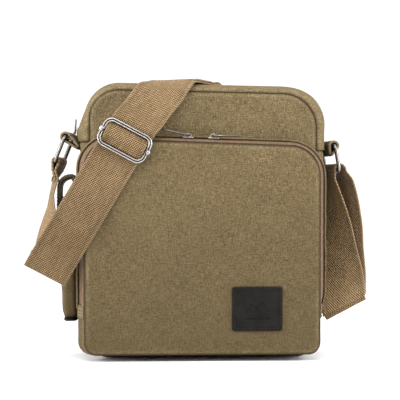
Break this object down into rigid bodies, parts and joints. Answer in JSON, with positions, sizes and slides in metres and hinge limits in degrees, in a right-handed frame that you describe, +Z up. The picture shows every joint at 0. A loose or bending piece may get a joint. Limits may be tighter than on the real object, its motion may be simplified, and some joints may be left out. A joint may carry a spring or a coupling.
{
  "type": "messenger bag",
  "caption": "Upright canvas messenger bag with a zip-round front pocket, a side pouch and an adjustable webbing strap on rectangular rings.",
  "frame": {"origin": "middle of the base's underside, between the front and back panels", "axes": "+X to the right seen from the front, -Y out of the front pocket, +Z up; the bag stands on its base"},
  "size_m": [0.3403, 0.1218, 0.2698],
  "materials": {
    "canvas": "washed cotton canvas, matt",
    "lining": "plain woven lining, matt",
    "webbing": "herringbone cotton webbing, matt",
    "zip_tape": "woven zip tape, matt",
    "zip_coil": "nylon coil",
    "leather": "dark embossed leather, satin",
    "nickel": "dark antique nickel plate"
  },
  "bodies": {
    "bag": {"front_panel": "canvas", "back_panel": "canvas", "base_gusset": "canvas", "side_gusset_left": "canvas", "side_gusset_right": "canvas", "top_gusset_front": "canvas", "top_gusset_rear": "canvas", "main_zip_tape_front": "zip_tape", "main_zip_tape_rear": "zip_tape", "main_zip_coil": "zip_coil", "main_lining": "lining", "pocket_face_panel": "canvas", "pocket_gusset_base": "canvas", "pocket_gusset_top": "canvas", "pocket_zip_tape_front": "zip_tape", "pocket_zip_tape_rear": "zip_tape", "pocket_zip_coil": "zip_coil", "leather_patch": "leather", "zip_end_tab_left": "canvas", "zip_end_tab_right": "canvas", "side_pocket": "canvas", "side_pocket_base": "leather", "side_pocket_flap": "leather", "ring_tab_left": "canvas", "ring_tab_right": "canvas", "strap_left_leg": "webbing", "strap_front_run": "webbing", "strap_front_upper": "webbing", "strap_top": "webbing", "strap_back_run": "webbing", "strap_inner_front": "webbing", "strap_inner_top": "webbing", "strap_inner_back": "webbing", "strap_right_leg_front": "webbing", "strap_right_leg_rear": "webbing"},
    "left_ring": {"ring_left": "nickel", "strap_end_loop": "webbing", "strap_rivet": "nickel"},
    "right_ring": {"ring_right": "nickel", "strap_ring_wrap": "webbing"},
    "strap_buckle": {"buckle_frame": "nickel", "buckle_bar": "nickel", "buckle_webbing": "webbing"},
    "main_slider": {"main_zip_slider": "nickel"},
    "main_pull": {"main_zip_pull": "nickel"},
    "pocket_slider_left": {"pocket_slider_left": "nickel"},
    "pocket_pull_left": {"pocket_pull_left": "nickel"},
    "pocket_slider_right": {"pocket_slider_right": "nickel"},
    "pocket_pull_right": {"pocket_pull_right": "nickel"}
  },
  "joints": [
    {"name": "left_ring_swing", "type": "hinge", "parent": "bag", "child": "left_ring", "pos_m": [-0.131, 0, 0.2125], "axis": [0, 1, 0], "range_deg": [0, 14]},
    {"name": "right_ring_swing", "type": "hinge", "parent": "bag", "child": "right_ring", "pos_m": [0.1275, 0, 0.2045], "axis": [0.1392, -0.9903, 0], "range_deg": [0, 14]},
    {"name": "buckle_slide", "type": "slide", "parent": "bag", "child": "strap_buckle", "axis": [-0.5149, 0.01, -0.8572], "range_m": [0, 0.045]},
    {"name": "main_zip_run", "type": "slide", "parent": "bag", "child": "main_slider", "axis": [0, 0, 1], "range_m": [0, 0.02]},
    {"name": "main_pull_swing", "type": "hinge", "parent": "main_slider", "child": "main_pull", "pos_m": [-0.12375, 0, 0.217], "axis": [0, -1, 0], "range_deg": [0, 75]},
    {"name": "pocket_zip_run_left", "type": "slide", "parent": "bag", "child": "pocket_slider_left", "axis": [0.9996, 0, -0.027], "range_m": [-0.055, 0.004]},
    {"name": "pocket_pull_swing_left", "type": "hinge", "parent": "pocket_slider_left", "child": "pocket_pull_left", "pos_m": [-0.01529, -0.052, 0.21301], "axis": [0, 1, 0], "range_deg": [0, 22]},
    {"name": "pocket_zip_run_right", "type": "slide", "parent": "bag", "child": "pocket_slider_right", "axis": [0.9996, 0, -0.027], "range_m": [-0.004, 0.065]},
    {"name": "pocket_pull_swing_right", "type": "hinge", "parent": "pocket_slider_right", "child": "pocket_pull_right", "pos_m": [0.00871, -0.052, 0.21236], "axis": [0, -1, 0], "range_deg": [0, 120]}
  ]
}
